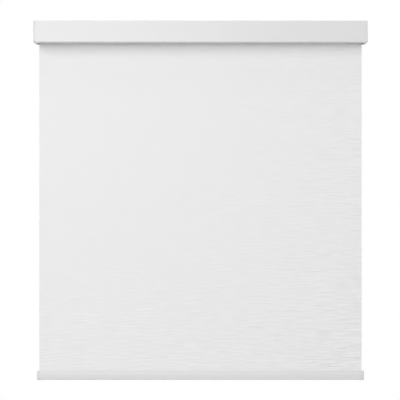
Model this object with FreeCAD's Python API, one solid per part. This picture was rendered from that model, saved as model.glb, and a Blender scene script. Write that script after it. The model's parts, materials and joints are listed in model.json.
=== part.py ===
"""Cordless roller shade in a square cassette: one STEP file for each piece.

The frame: +X runs along the cassette to the right as seen from the room, +Y points at the wall,
+Z is up. The origin is the centre of the four wall screw holes, on the wall face.
The shade is modelled lowered. All sizes are in millimetres.
"""
import FreeCAD, Part
import math
import os

from FreeCAD import Vector

# Overall sizes
CASSETTE_WIDTH = 1000.0
CASSETTE_HEIGHT = 64.0
CASSETTE_DEPTH = 60.0
CASSETTE_TOP = 14.5          # above the centre of the wall screw holes
WALL_GAP = 5.0               # behind the cassette, for the heads of the wall screws
TOTAL_DROP = 1081.3          # cassette top to the underside of the bottom rail
LIFT_STOP_GAP = 3.0          # left under the cassette when the shade is up

# Extruded cassette
FASCIA_WALL = 1.6
HEADRAIL_WALL = 1.6
FASCIA_LIP = 20.0            # underside return, front to back
FASCIA_LIP_TURN = 2.6
FASCIA_TOP_LIP = 8.6
FASCIA_TOP_RADIUS = 1.0
FASCIA_BOTTOM_RADIUS = 2.2
SNAP_GAP = 0.3               # between pieces that clip together
CLIP_DEPTH = 12.6            # how far the headrail's front flange hangs down
CLIP_LEG = 5.0
CLIP_LEG_WALL = 1.2
HOOK_WALL = 1.2
BACK_RISE = 0.6              # rear wall's lower edge above the cassette's
BACK_FOOT = 3.6
REAR_PORT_HEIGHT = 8.0       # rear screw port above the wall's lower edge

# Slot on top of the headrail, which the bracket cams lock into
SLOT_WIDTH = 28.0
SLOT_LIP = 2.6
SLOT_LIP_WALL = 1.4
SLOT_LIP_TOP_DROP = 2.3      # cassette top to the top of the slot's lips
SLOT_OFFSET = 1.0            # slot's middle behind the cassette's

# End caps and their screws
CAP_THICK = 6.5
CAP_PLATE = 3.0
CAP_SKIN = 1.5               # left behind the tang's slot and the bush
CAP_RIM = 2.4
CAP_CORNER_RADIUS = 2.6
CAP_EDGE_RADIUS = 1.2
CAP_SEAM = 0.3               # shadow line where a cap meets its extrusion, width and depth
SPIGOT_LENGTH = 8.0
SPIGOT_WALL = 1.6
SCREW_BOSS_SINK = 0.6        # of a port's boss into its wall
SCREW_PAD_WALL = 0.8         # end cap round a screw, past the boss
SCREW_SHANK_RADIUS = 1.4
SCREW_PORT_GAP = 0.1         # radial, shank to port
SCREW_BOSS_WALL = 1.7
SCREW_LENGTH = 17.0
SCREW_HEAD_RADIUS = 3.0
SCREW_HEAD_HEIGHT = 1.9
SCREW_HOLE_GAP = 0.5         # radial, shank to end cap
SCREW_SINK_GAP = 0.4
SCREW_RECESS_WIDTH = 0.9
SCREW_PORT_OPENING = 1.4

# Mounting brackets
BRACKET_SPACING = 700.0
BRACKET_WIDTH = 26.0
BRACKET_SHEET = 1.5
BRACKET_FOOT = 14.0          # reach of the rear plate below the origin
BRACKET_CORNER_RADIUS = 3.0
BRACKET_BEND_RADIUS = 2.2
WALL_HOLE_SPACING = 14.0
CEILING_HOLE_SPACING = 16.0
SCREW_FIXING_RADIUS = 2.3

# Cam levers under the brackets
CAM_SHEET = 1.6
CAM_WIDTH = 10.0
CAM_END_GAP = 0.5
CAM_ARM_LENGTH = 24.0
CAM_ARM_WIDTH = 6.0
CAM_ARM_ANGLE = 28.0         # locked, ahead of +X seen from above
ROUND_END = 0.98             # share of the half width that rounds a strip's end
RIVET_RADIUS = 2.0
RIVET_HEAD_RADIUS = 3.4
RIVET_HEAD_HEIGHT = 0.6
RIVET_PLAY = 0.1
PIN_PLAY = 0.05              # radial, on every turning pin

# Roller
TUBE_RADIUS = 16.0
TUBE_WALL = 1.3
TUBE_END_GAP = 4.0           # each end of the tube to its end cap
TUBE_RIB_HEIGHT = 1.2
TUBE_RIB_WIDTH = 1.6
CHANNEL_DEPTH = 2.1          # pocket for the fabric strip
CHANNEL_WIDTH = 4.8
CHANNEL_WALL = 1.1
CHANNEL_SLOT = 2.0
PLUG_GAP = 0.2               # plugs in the tube
PLUG_FLANGE = 2.0

# Fabric
FABRIC_THICK = 0.4
WIND_GAP = 0.1               # between turns
DEAD_TURNS = 3               # turns left on the tube when the shade is down
FABRIC_INSET = 0.5           # fabric edge to tube end
TUBE_WRAP_GAP = 0.05
STRIP_GAP = 0.2
STRIP_FLOOR = 0.4            # of the strip, under its slit
SPLINE_FLOOR = 0.9           # of the rail's spline, under its slit
SOFT_GAP = 0.3               # fabric panel to the roll it hangs from

# Spring end
ARBOR_RADIUS = 3.0
TANG_THICK = 3.0
TANG_GAP = 0.1
SPRING_PLUG_LENGTH = 30.0
PLUG_WALL = 0.7              # round the pawls' recess, inside the strip channel
SPRING_HUB_GAP = 0.4
SPRING_HUB_LENGTH = 14.0
WIRE_RADIUS = 0.9
SPRING_ROOM = 3.3            # radial, spring to the tube's strip channel
SPRING_TURNS = 36
SPRING_PITCH = 4.0
SPRING_LEG = 5.0
SPRING_BEND = 1.8            # of the wire into each leg
SPRING_SAMPLES = 24          # points a turn when the gaps are measured
ANCHOR_GAP = 0.7             # radial, anchor to the tube's strip channel
ANCHOR_PIN_SHORT = 0.5       # anchor pin's ends inside the anchor
ANCHOR_LENGTH = 14.0
ANCHOR_PIN_RADIUS = 1.25
GUIDE_LENGTH = 12.0
GUIDE_GAP = 2.0
PRESS_GAP = 0.02

# Pawls
PAWL_THICK = 4.6
PAWL_SIDE_GAP = 0.4
PAWL_BOSS_RADIUS = 2.0
PAWL_PIN_RADIUS = 1.2
PAWL_PIN_HEAD = 1.8
PAWL_PIN_HEAD_HEIGHT = 1.2
PAWL_PIN_SINK = 0.7          # pin heads inside the plug's face
PAWL_PIN_DEPTH = 5.0         # into the plug
PAWL_FINGER_LENGTH = 6.2
PAWL_FINGER_WIDTH = 1.6
PAWL_REST_ANGLE = 210.0      # of the finger, seen from +X, clear of the ratchet
PAWL_SWING = 22.0
NOTCH_STOP_GAP = 0.15
NOTCH_SIDE_GAP = 0.25

# Idle end
IDLE_PIN_RADIUS = 3.0
IDLE_PIN_NOSE = 0.9          # rounding of the pin's tip
IDLE_PIN_TIP_GAP = 1.0       # pin's tip to the bottom of its bush
IDLE_PIN_COLLAR = 5.0
IDLE_PIN_COLLAR_WIDTH = 3.0
IDLE_PIN_TAIL_RADIUS = 2.0
IDLE_PIN_TAIL = 8.0
IDLE_PIN_FREE = 1.0          # pin's tip to the end cap, pushed right in
IDLE_TAIL_GAP = 10.0         # pin's tail to the spring seat, with the pin in
IDLE_SHOULDER = 7.0          # plug face to the pin's shoulder
IDLE_BORE_GAP = 0.5
BUSH_WALL = 3.0
SOCKET_WALL = 2.0            # end cap round the bush
PIN_SPRING_WIRE = 0.45
PIN_SPRING_TURNS = 8
SEAT_THICK = 3.0

# Bottom rail
RAIL_HEIGHT = 26.7
RAIL_DEPTH = 14.0
RAIL_SHOULDER = 12.0         # height of the rounded shoulder, above the rail's deepest line
RAIL_SHOULDER_RADIUS = 18.0
RAIL_FACE_RADIUS = 190.0     # of the long face below it
RAIL_EDGE_RADIUS = 5.2       # of the lower edges
RAIL_WALL = 1.4
RAIL_INSET = 3.0             # rail profile inside the fabric edge, at each end
RAIL_SLOT = 1.2
RAIL_SLOT_WALL = 1.5
RAIL_POCKET_WALL = 1.2
RAIL_SPLINE_WIDTH = 4.6
RAIL_SPLINE_HEIGHT = 5.0
RAIL_CAP_WIDTH = 9.2
RAIL_CAP_PROUD = 0.8         # all round
RAIL_CAP_RADIUS = 1.4
RAIL_PLUG_LENGTH = 12.0
RAIL_PLUG_GAP = 0.2
BALLAST_RADIUS = 4.0
BALLAST_END_GAP = 1.5

# Places worked out from the sizes above
cassette_bottom = CASSETTE_TOP - CASSETTE_HEIGHT
cassette_back = -WALL_GAP
cassette_front = cassette_back - CASSETTE_DEPTH
half_width = CASSETTE_WIDTH / 2
half_profile = half_width - CAP_THICK
slot_lip_top = CASSETTE_TOP - SLOT_LIP_TOP_DROP
slot_lip_bottom = slot_lip_top - SLOT_LIP_WALL
slot_middle = (cassette_front + cassette_back) / 2 + SLOT_OFFSET
cam_top = slot_lip_bottom - SNAP_GAP
cam_bottom = cam_top - CAM_SHEET
rivet_head_top = cam_bottom - RIVET_PLAY
rivet_head_bottom = rivet_head_top - RIVET_HEAD_HEIGHT
deck_top = rivet_head_bottom - SNAP_GAP
deck_bottom = deck_top - HEADRAIL_WALL
back_bottom = cassette_bottom + BACK_RISE
arm_bottom = slot_lip_top + SNAP_GAP
arm_top = arm_bottom + CAM_SHEET
bracket_plate_bottom = arm_top + RIVET_PLAY
bracket_plate_top = bracket_plate_bottom + BRACKET_SHEET

port_radius = SCREW_SHANK_RADIUS + SCREW_PORT_GAP
boss_radius = port_radius + SCREW_BOSS_WALL
bush_radius = IDLE_PIN_RADIUS + BUSH_WALL
socket_radius = bush_radius + SOCKET_WALL
socket_depth = CAP_THICK - CAP_SKIN

axis_y = (cassette_front + cassette_back) / 2
axis_z = (deck_bottom + cassette_bottom) / 2
tube_half = half_profile - TUBE_END_GAP
tube_bore = TUBE_RADIUS - TUBE_WALL
plug_radius = tube_bore - PLUG_GAP
flange_face = tube_half + PLUG_FLANGE
channel_outer = TUBE_RADIUS - CHANNEL_WALL
channel_inner = channel_outer - CHANNEL_DEPTH
channel_floor = channel_inner - CHANNEL_WALL

# Inner face of each half turn of fabric, outermost first, about two centres
half_turns = 2 * DEAD_TURNS
wind_pitch = FABRIC_THICK + WIND_GAP
wind_centre = wind_pitch / 4
inner_wrap = TUBE_RADIUS + TUBE_WRAP_GAP + wind_centre
outer_wrap = inner_wrap + (half_turns - 1) * wind_pitch / 2
fabric_back = axis_y + wind_centre + outer_wrap + FABRIC_THICK
fabric_front = fabric_back - FABRIC_THICK
fabric_middle = (fabric_back + fabric_front) / 2
fabric_half = tube_half - FABRIC_INSET

rail_bottom = CASSETTE_TOP - TOTAL_DROP
rail_top = rail_bottom + RAIL_HEIGHT
rail_half = fabric_half - RAIL_INSET
rail_pocket_top = rail_top - RAIL_SLOT_WALL
rail_pocket_bottom = rail_pocket_top - RAIL_SPLINE_HEIGHT - 2 * STRIP_GAP
rail_chamber_top = rail_pocket_bottom - RAIL_WALL
rail_chamber_bottom = rail_bottom + RAIL_WALL
lift = cassette_bottom - LIFT_STOP_GAP - rail_top

recess_radius = channel_floor - PLUG_GAP - PLUG_WALL
pawl_pivot_radius = recess_radius - PAWL_SIDE_GAP - PAWL_BOSS_RADIUS
ratchet_radius = pawl_pivot_radius - PAWL_BOSS_RADIUS - PAWL_SIDE_GAP
pawl_outer = -flange_face + PAWL_PIN_SINK + PAWL_PIN_HEAD_HEIGHT + RIVET_PLAY
pawl_inner = pawl_outer + PAWL_THICK
recess_floor = pawl_inner + PAWL_SIDE_GAP
spring_radius = channel_floor - SPRING_ROOM - WIRE_RADIUS
hub_radius = spring_radius - WIRE_RADIUS - SPRING_HUB_GAP
anchor_radius = channel_floor - ANCHOR_GAP
hub_start = -tube_half + SPRING_PLUG_LENGTH
hub_end = hub_start + SPRING_HUB_LENGTH
coil_start = hub_start + SPRING_LEG / 2
coil_end = coil_start + SPRING_TURNS * SPRING_PITCH
anchor_start = coil_end + SPRING_LEG / 2
anchor_end = anchor_start + ANCHOR_LENGTH
guide_start = anchor_end + GUIDE_GAP
guide_end = guide_start + GUIDE_LENGTH
pin_tip = half_profile + socket_depth - IDLE_PIN_TIP_GAP
pin_travel = pin_tip - half_profile + IDLE_PIN_FREE
pin_shoulder = flange_face - IDLE_SHOULDER
collar_end = pin_shoulder - IDLE_PIN_COLLAR_WIDTH
seat_face = collar_end - IDLE_PIN_TAIL - pin_travel - IDLE_TAIL_GAP - SEAT_THICK
pin_bore = IDLE_PIN_COLLAR + IDLE_BORE_GAP
pin_spring_radius = (pin_bore + IDLE_PIN_TAIL_RADIUS) / 2


# Drawing helpers

def bar(x, y, z):
    """A box between two limits on each axis."""
    size = [abs(limits[1] - limits[0]) for limits in (x, y, z)]
    return Part.makeBox(*size, Vector(min(x), min(y), min(z)))


def rod(x0, x1, radius, y=None, z=None):
    """A round bar along X, on the roller's axis unless told otherwise."""
    centre = Vector(min(x0, x1), axis_y if y is None else y, axis_z if z is None else z)
    return Part.makeCylinder(radius, abs(x1 - x0), centre, Vector(1, 0, 0))


def post(x, y, z0, z1, radius):
    """A round bar along Z."""
    return Part.makeCylinder(radius, z1 - z0, Vector(x, y, z0), Vector(0, 0, 1))


def outline(corners):
    """A closed wire through corners, each a point and the radius that rounds it."""
    points = [point for point, radius in corners]
    starts, ends, arcs = [], [], []
    for i, (point, radius) in enumerate(corners):
        to_last = (points[i - 1] - point).normalize()
        to_next = (points[(i + 1) % len(points)] - point).normalize()
        if radius <= 0:
            starts.append(point)
            ends.append(point)
            arcs.append(None)
            continue
        half = to_last.getAngle(to_next) / 2
        starts.append(point + to_last * (radius / math.tan(half)))
        ends.append(point + to_next * (radius / math.tan(half)))
        inward = (to_last + to_next).normalize()
        middle = point + inward * (radius / math.sin(half) - radius)
        arcs.append(Part.Arc(starts[-1], middle, ends[-1]).toShape())
    edges = []
    for i, arc in enumerate(arcs):
        if arc:
            edges.append(arc)
        following = starts[(i + 1) % len(starts)]
        if (following - ends[i]).Length > 1e-6:
            edges.append(Part.makeLine(ends[i], following))
    return Part.Wire(edges)


def profile(corners, x0, x1):
    """A bar along X of the section given by (y, z, radius) corners."""
    wire = outline([(Vector(x0, y, z), radius) for y, z, radius in corners])
    return Part.Face(wire).extrude(Vector(x1 - x0, 0, 0))


def plate(corners, z0, z1):
    """A flat plate of the plan given by (x, y, radius) corners."""
    wire = outline([(Vector(x, y, z0), radius) for x, y, radius in corners])
    return Part.Face(wire).extrude(Vector(0, 0, z1 - z0))


def fused(first, *others):
    """One clean solid from pieces that touch or overlap."""
    return first.fuse(list(others)).removeSplitter()


def cut(shape, *tools):
    return shape.cut(list(tools))


def turned(shape, degrees):
    """The shape turned about the roller's axis, positive as +X turns Y to Z."""
    copy = shape.copy()
    copy.rotate(Vector(0, axis_y, axis_z), Vector(1, 0, 0), degrees)
    return copy


def edges_at(shape, test):
    """The edges whose every end passes a test."""
    return [e for e in shape.Edges if all(test(v.Point) for v in e.Vertexes)]


# Cassette extrusions

def fascia():
    """The front cover, with its underside return, its top hook and the clip behind it."""
    inner = cassette_front + FASCIA_WALL
    lip_end = cassette_front + FASCIA_LIP
    lip_inner = lip_end - FASCIA_WALL
    lip_top = cassette_bottom + FASCIA_WALL
    flange_back = inner + SNAP_GAP + HEADRAIL_WALL
    leg_front = flange_back + SNAP_GAP
    leg_back = leg_front + CLIP_LEG_WALL
    shelf_top = deck_top - CLIP_DEPTH - SNAP_GAP
    shelf_bottom = shelf_top - CLIP_LEG_WALL
    hook_back = cassette_front + FASCIA_TOP_LIP
    hook_front = hook_back - HOOK_WALL
    return profile([
        (cassette_front, cassette_bottom, FASCIA_BOTTOM_RADIUS),
        (lip_end, cassette_bottom, 0.5),
        (lip_end, lip_top + FASCIA_LIP_TURN, 0.5),
        (lip_inner, lip_top + FASCIA_LIP_TURN, 0.5),
        (lip_inner, lip_top, 0),
        (inner, lip_top, 0.6),
        (inner, shelf_bottom, 0),
        (leg_back, shelf_bottom, 0),
        (leg_back, shelf_top + CLIP_LEG, 0.3),
        (leg_front, shelf_top + CLIP_LEG, 0.3),
        (leg_front, shelf_top, 0),
        (inner, shelf_top, 0),
        (inner, CASSETTE_TOP - FASCIA_WALL, 0),
        (hook_front, CASSETTE_TOP - FASCIA_WALL, 0),
        (hook_front, deck_top + SNAP_GAP, 0),
        (hook_back, deck_top + SNAP_GAP, 0),
        (hook_back, CASSETTE_TOP, 0.4),
        (cassette_front, CASSETTE_TOP, FASCIA_TOP_RADIUS),
    ], -half_profile, half_profile)


def screw_ports():
    """The (y, z) centres of the two screw ports at each end of the headrail."""
    front = cassette_front + FASCIA_WALL + 2 * SNAP_GAP + HEADRAIL_WALL + CLIP_LEG_WALL
    front_port = (front + SNAP_GAP + boss_radius, deck_bottom - boss_radius + SCREW_BOSS_SINK)
    rear = cassette_back - HEADRAIL_WALL
    rear_port = (rear - boss_radius + SCREW_BOSS_SINK, back_bottom + REAR_PORT_HEIGHT)
    return [front_port, rear_port]


def headrail():
    """The deck and rear wall, with the bracket slot on top and the screw ports inside."""
    x = (-half_profile, half_profile)
    flange_front = cassette_front + FASCIA_WALL + SNAP_GAP
    flange_back = flange_front + HEADRAIL_WALL
    wall_front = cassette_back - HEADRAIL_WALL
    hook_front = cassette_front + FASCIA_TOP_LIP - HOOK_WALL
    pieces = [
        bar(x, (flange_front, cassette_back), (deck_bottom, deck_top)),
        bar(x, (flange_front, flange_back), (deck_top - CLIP_DEPTH, deck_top)),
        bar(x, (wall_front, cassette_back), (back_bottom, deck_top)),
        bar(x, (cassette_back - BACK_FOOT, cassette_back), (back_bottom, back_bottom + HEADRAIL_WALL)),
        bar(x, (hook_front - SNAP_GAP - HOOK_WALL, hook_front - SNAP_GAP),
            (deck_top, CASSETTE_TOP - FASCIA_WALL - SNAP_GAP)),
    ]
    for side in (-1, 1):
        rib = slot_middle + side * SLOT_WIDTH / 2
        outer = rib + side * HEADRAIL_WALL
        pieces.append(bar(x, (rib, outer), (deck_top, slot_lip_top)))
        pieces.append(bar(x, (rib - side * SLOT_LIP, outer), (slot_lip_bottom, slot_lip_top)))
    front_port, rear_port = screw_ports()
    for y, z in (front_port, rear_port):
        pieces.append(rod(*x, boss_radius, y, z))
    body = fused(*pieces)
    reach = boss_radius + SCREW_BOSS_SINK
    opening = SCREW_PORT_OPENING / 2
    return cut(
        body,
        rod(*x, port_radius, *front_port),
        rod(*x, port_radius, *rear_port),
        bar(x, (front_port[0] - opening, front_port[0] + opening), (front_port[1] - reach, front_port[1])),
        bar(x, (rear_port[0] - reach, rear_port[0]), (rear_port[1] - opening, rear_port[1] + opening)),
    )


# End caps

def cap_contour(shrink, x0, x1):
    """A block with the cassette's outline, drawn in all round by shrink."""
    radius = CAP_CORNER_RADIUS - shrink
    front, back = cassette_front + shrink, cassette_back - shrink
    bottom, top = cassette_bottom + shrink, CASSETTE_TOP - shrink
    corners = [(front, bottom), (back, bottom), (back, top), (front, top)]
    return profile([(y, z, radius) for y, z in corners], x0, x1)


def end_cap(side):
    """A moulded end cap. The left one holds the arbor's tang, the right one the bush."""
    outer = side * half_width
    plate_inner = side * (half_width - CAP_PLATE)
    rim_inner = side * half_profile
    seam = side * (half_profile + CAP_SEAM)
    shell = cap_contour(0, outer, seam)
    face = edges_at(shell, lambda p: abs(p.x - outer) < 1e-6)
    shell = shell.makeFillet(CAP_EDGE_RADIUS, face)
    shell = cut(fused(shell, cap_contour(CAP_SEAM, seam, rim_inner)), bar(
        (plate_inner, rim_inner),
        (cassette_front + CAP_RIM, cassette_back - CAP_RIM),
        (cassette_bottom + CAP_RIM, CASSETTE_TOP - CAP_RIM),
    ))
    tip = side * (half_profile - SPIGOT_LENGTH)
    fascia_inner = cassette_front + FASCIA_WALL + SNAP_GAP
    wall_inner = cassette_back - HEADRAIL_WALL - SNAP_GAP
    lip_top = cassette_bottom + FASCIA_WALL + SNAP_GAP
    shelf = deck_top - CLIP_DEPTH - CLIP_LEG_WALL - 2 * SNAP_GAP
    rear_port_z = screw_ports()[1][1]
    spigots = [
        bar((plate_inner, tip), (fascia_inner, fascia_inner + SPIGOT_WALL),
            (lip_top, shelf - SPIGOT_WALL)),
        bar((plate_inner, tip), (fascia_inner, cassette_front + FASCIA_LIP - FASCIA_WALL - SNAP_GAP),
            (lip_top, lip_top + SPIGOT_WALL)),
        bar((plate_inner, tip), (wall_inner - SPIGOT_WALL, wall_inner),
            (rear_port_z + boss_radius + SPIGOT_WALL, deck_bottom - SPIGOT_WALL)),
    ]
    pads = [rod(plate_inner, rim_inner, boss_radius + SCREW_PAD_WALL, *port) for port in screw_ports()]
    socket = rod(plate_inner, rim_inner, socket_radius)
    shell = fused(shell, socket, *pads, *spigots)
    sink = side * (half_width - SCREW_HEAD_HEIGHT - SCREW_SINK_GAP)
    holes = []
    for port in screw_ports():
        holes.append(rod(outer, rim_inner, SCREW_SHANK_RADIUS + SCREW_HOLE_GAP, *port))
        holes.append(rod(outer, sink, SCREW_HEAD_RADIUS + SCREW_SINK_GAP, *port))
    if side < 0:
        half_thick = TANG_THICK / 2 + TANG_GAP
        half_tall = ARBOR_RADIUS + TANG_GAP
        holes.append(bar(
            (rim_inner, rim_inner - socket_depth),
            (axis_y - half_thick, axis_y + half_thick),
            (axis_z - half_tall, axis_z + half_tall),
        ))
    else:
        holes.append(rod(rim_inner, rim_inner + socket_depth, bush_radius + PRESS_GAP))
    return cut(shell, *holes)


def cap_screws(side):
    """Two pan head screws through an end cap into the headrail's ports."""
    head_outer = side * (half_width - SCREW_SINK_GAP)
    head_inner = side * (half_width - SCREW_SINK_GAP - SCREW_HEAD_HEIGHT)
    tip = side * (half_width - SCREW_LENGTH)
    slot = SCREW_RECESS_WIDTH / 2
    arm = SCREW_HEAD_RADIUS * 0.62
    screws = []
    for y, z in screw_ports():
        head = rod(head_outer, head_inner, SCREW_HEAD_RADIUS, y, z)
        rim = edges_at(head, lambda p: abs(p.x - head_outer) < 1e-6)
        head = head.makeFillet(SCREW_HEAD_HEIGHT * 0.45, rim)
        screw = fused(head, rod(head_inner, tip, SCREW_SHANK_RADIUS, y, z))
        depth = (head_outer, head_outer - side * SCREW_HEAD_HEIGHT * 0.6)
        screws.append(cut(
            screw,
            bar(depth, (y - slot, y + slot), (z - arm, z + arm)),
            bar(depth, (y - arm, y + arm), (z - slot, z + slot)),
        ))
    return Part.makeCompound(screws)


# Brackets, cams and rivets

def bracket(side):
    """A bent steel bracket: its nose stands on the slot's front rib, its foot on the wall."""
    x = side * BRACKET_SPACING / 2
    left, right = x - BRACKET_WIDTH / 2, x + BRACKET_WIDTH / 2
    nose = slot_middle - SLOT_WIDTH / 2 - HEADRAIL_WALL
    bend = BRACKET_BEND_RADIUS
    body = profile([
        (nose, slot_lip_top, 0),
        (nose + BRACKET_SHEET, slot_lip_top, 0),
        (nose + BRACKET_SHEET, bracket_plate_bottom, bend - BRACKET_SHEET),
        (-BRACKET_SHEET, bracket_plate_bottom, bend - BRACKET_SHEET),
        (-BRACKET_SHEET, -BRACKET_FOOT, 0),
        (0, -BRACKET_FOOT, 0),
        (0, bracket_plate_top, bend),
        (nose, bracket_plate_top, bend),
    ], left, right)
    foot_edges = [e for e in edges_at(body, lambda p: abs(p.z + BRACKET_FOOT) < 1e-6)
                  if abs(e.Vertexes[0].X - e.Vertexes[-1].X) < 1e-6]
    body = body.makeFillet(BRACKET_CORNER_RADIUS, foot_edges)
    wall_holes = [
        Part.makeCylinder(SCREW_FIXING_RADIUS, BRACKET_SHEET, Vector(x, -BRACKET_SHEET, z), Vector(0, 1, 0))
        for z in (-WALL_HOLE_SPACING / 2, WALL_HOLE_SPACING / 2)
    ]
    ceiling_y = (slot_middle + SLOT_WIDTH / 2 + HEADRAIL_WALL + cassette_back) / 2
    ceiling_holes = [
        post(x + offset, ceiling_y, bracket_plate_bottom, bracket_plate_top, SCREW_FIXING_RADIUS)
        for offset in (-CEILING_HOLE_SPACING / 2, CEILING_HOLE_SPACING / 2)
    ]
    rivet_hole = post(x, slot_middle, bracket_plate_bottom, bracket_plate_top, RIVET_RADIUS + PRESS_GAP)
    return cut(body, rivet_hole, *wall_holes, *ceiling_holes)


def cam_lever(side):
    """The cam that locks under both lips of the slot, joined through it to the lever above."""
    x = side * BRACKET_SPACING / 2
    reach = SLOT_WIDTH / 2 - CAM_END_GAP
    half = CAM_WIDTH / 2
    cam = plate([
        (x - half, slot_middle - reach, half * ROUND_END),
        (x + half, slot_middle - reach, half * ROUND_END),
        (x + half, slot_middle + reach, half * ROUND_END),
        (x - half, slot_middle + reach, half * ROUND_END),
    ], cam_bottom, cam_top)
    arm_half = CAM_ARM_WIDTH / 2
    arm = plate([
        (x, slot_middle - arm_half, 0),
        (x + CAM_ARM_LENGTH, slot_middle - arm_half, arm_half * ROUND_END),
        (x + CAM_ARM_LENGTH, slot_middle + arm_half, arm_half * ROUND_END),
        (x, slot_middle + arm_half, 0),
    ], arm_bottom, arm_top)
    arm.rotate(Vector(x, slot_middle, 0), Vector(0, 0, 1), -CAM_ARM_ANGLE)
    hub = post(x, slot_middle, cam_bottom, arm_top, half)
    bore = post(x, slot_middle, cam_bottom, arm_top, RIVET_RADIUS + PIN_PLAY)
    return cut(fused(hub, cam, arm), bore)


def cam_rivet(side):
    """The rivet that a cam turns on, set in the bracket."""
    x = side * BRACKET_SPACING / 2
    return fused(
        post(x, slot_middle, rivet_head_bottom, rivet_head_top, RIVET_HEAD_RADIUS),
        post(x, slot_middle, rivet_head_bottom, bracket_plate_top, RIVET_RADIUS),
    )


# Roller tube and what sits in it

def tube_section_tools(x0, x1, gap):
    """What a plug gives way to inside the tube: the strip channel and three drive ribs."""
    channel = bar(
        (x0, x1),
        (axis_y + channel_floor - gap, axis_y + TUBE_RADIUS),
        (axis_z - CHANNEL_WIDTH / 2 - CHANNEL_WALL - gap, axis_z + CHANNEL_WIDTH / 2 + CHANNEL_WALL + gap),
    )
    rib = bar(
        (x0, x1),
        (axis_y + tube_bore - TUBE_RIB_HEIGHT - gap, axis_y + TUBE_RADIUS),
        (axis_z - TUBE_RIB_WIDTH / 2 - gap, axis_z + TUBE_RIB_WIDTH / 2 + gap),
    )
    return [channel] + [turned(rib, degrees) for degrees in (90, 180, 270)]


def roller_tube():
    """The extruded tube, with its strip channel at the back and its drive ribs."""
    x = (-tube_half, tube_half)
    whole = rod(*x, TUBE_RADIUS)
    ring = cut(whole, rod(*x, tube_bore))
    inner_features = [tool.common(whole) for tool in tube_section_tools(*x, 0)]
    tube = fused(ring, *inner_features)
    half = CHANNEL_WIDTH / 2
    pocket = bar(x, (axis_y + channel_inner, axis_y + channel_outer), (axis_z - half, axis_z + half))
    slot = bar(x, (axis_y + channel_inner, axis_y + TUBE_RADIUS + 1),
               (axis_z - CHANNEL_SLOT / 2, axis_z + CHANNEL_SLOT / 2))
    return cut(tube, pocket, slot)


def fabric_strip():
    """The stiff strip in the tube's channel, slit to grip the end of the fabric."""
    x = (-fabric_half, fabric_half)
    half = CHANNEL_WIDTH / 2 - STRIP_GAP
    inner = axis_y + channel_inner + STRIP_GAP
    outer = axis_y + channel_outer - STRIP_GAP
    strip = bar(x, (inner, outer), (axis_z - half, axis_z + half))
    grip = FABRIC_THICK / 2 + TUBE_WRAP_GAP
    return cut(strip, bar(x, (inner + STRIP_FLOOR, outer), (axis_z - grip, axis_z + grip)))


def fabric_roll():
    """The turns that stay on the tube: half turns about two centres, then the gripped end."""
    x0, length = -fabric_half, 2 * fabric_half

    def at(radius, k, angle):
        centre = axis_y + (wind_centre if k % 2 == 0 else -wind_centre)
        turn = math.radians(angle)
        return Vector(x0, centre + radius * math.cos(turn), axis_z + radius * math.sin(turn))

    inner_edges, outer_edges = [], []
    for k in range(half_turns):
        radius = outer_wrap - k * wind_pitch / 2
        start = 0 if k % 2 == 0 else 180
        for edges, r in ((inner_edges, radius), (outer_edges, radius + FABRIC_THICK)):
            points = [at(r, k, start + angle) for angle in (0, 90, 180)]
            edges.append(Part.Arc(*points).toShape())
    last = half_turns - 1
    end_inner = at(inner_wrap, last, 360)
    end_outer = at(inner_wrap + FABRIC_THICK, last, 360)
    first_inner = at(outer_wrap, 0, 0)
    first_outer = at(outer_wrap + FABRIC_THICK, 0, 0)
    rim = outer_edges + [Part.makeLine(end_outer, end_inner)]
    rim += list(reversed(inner_edges)) + [Part.makeLine(first_inner, first_outer)]
    turns = Part.Face(Part.Wire(Part.__sortEdges__(rim))).extrude(Vector(length, 0, 0))
    half = FABRIC_THICK / 2
    foot = axis_y + channel_inner + STRIP_GAP + STRIP_FLOOR + TUBE_WRAP_GAP
    tail = bar((x0, -x0), (foot, end_outer.y), (axis_z - half, axis_z + half))
    return fused(turns, tail)


def fabric_panel():
    """The hanging cloth, from the roll down into the spline in the bottom rail."""
    foot = rail_pocket_bottom + STRIP_GAP + SPLINE_FLOOR + TUBE_WRAP_GAP
    notch = rail_top + RAIL_CAP_PROUD + STRIP_GAP
    panel = bar((-fabric_half, fabric_half), (fabric_front, fabric_back), (foot, axis_z - SOFT_GAP))
    edge = rail_half - STRIP_GAP
    notches = [bar((side * edge, side * (fabric_half + 1)), (fabric_front, fabric_back), (foot, notch))
               for side in (-1, 1)]
    return cut(panel, *notches)


# Spring end of the roller

def pawl_pivot():
    """The (y, z) of the first pawl's pivot; the second is half a turn round."""
    return axis_y, axis_z + pawl_pivot_radius


def along_finger(x, a0, a1, b0, b1, angle):
    """A box along a pawl's finger: a from its pivot outward, b across, towards the ratchet."""
    y, z = pawl_pivot()
    block = bar(x, (y + a0, y + a1), (z + b0, z + b1))
    block.rotate(Vector(0, y, z), Vector(1, 0, 0), angle)
    return block


def spring_end_plug():
    """The plug that carries the pawls outside and the spring's hub inside."""
    body = rod(-tube_half, hub_start, plug_radius)
    body = cut(body, *tube_section_tools(-tube_half, hub_start, PLUG_GAP))
    body = fused(body, rod(-flange_face, -tube_half, TUBE_RADIUS), rod(hub_start, hub_end, hub_radius))
    y, z = pawl_pivot()
    pin_hole = rod(recess_floor, recess_floor + PAWL_PIN_DEPTH, PAWL_PIN_RADIUS + PRESS_GAP, y, z)
    leg_hole = rod(hub_start - SPRING_LEG, hub_start, WIRE_RADIUS + PLUG_GAP, axis_y, axis_z + spring_radius)
    return cut(
        body,
        rod(-flange_face, recess_floor, recess_radius),
        rod(recess_floor, hub_end, ARBOR_RADIUS + PIN_PLAY),
        pin_hole,
        turned(pin_hole, 180),
        leg_hole,
    )


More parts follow.
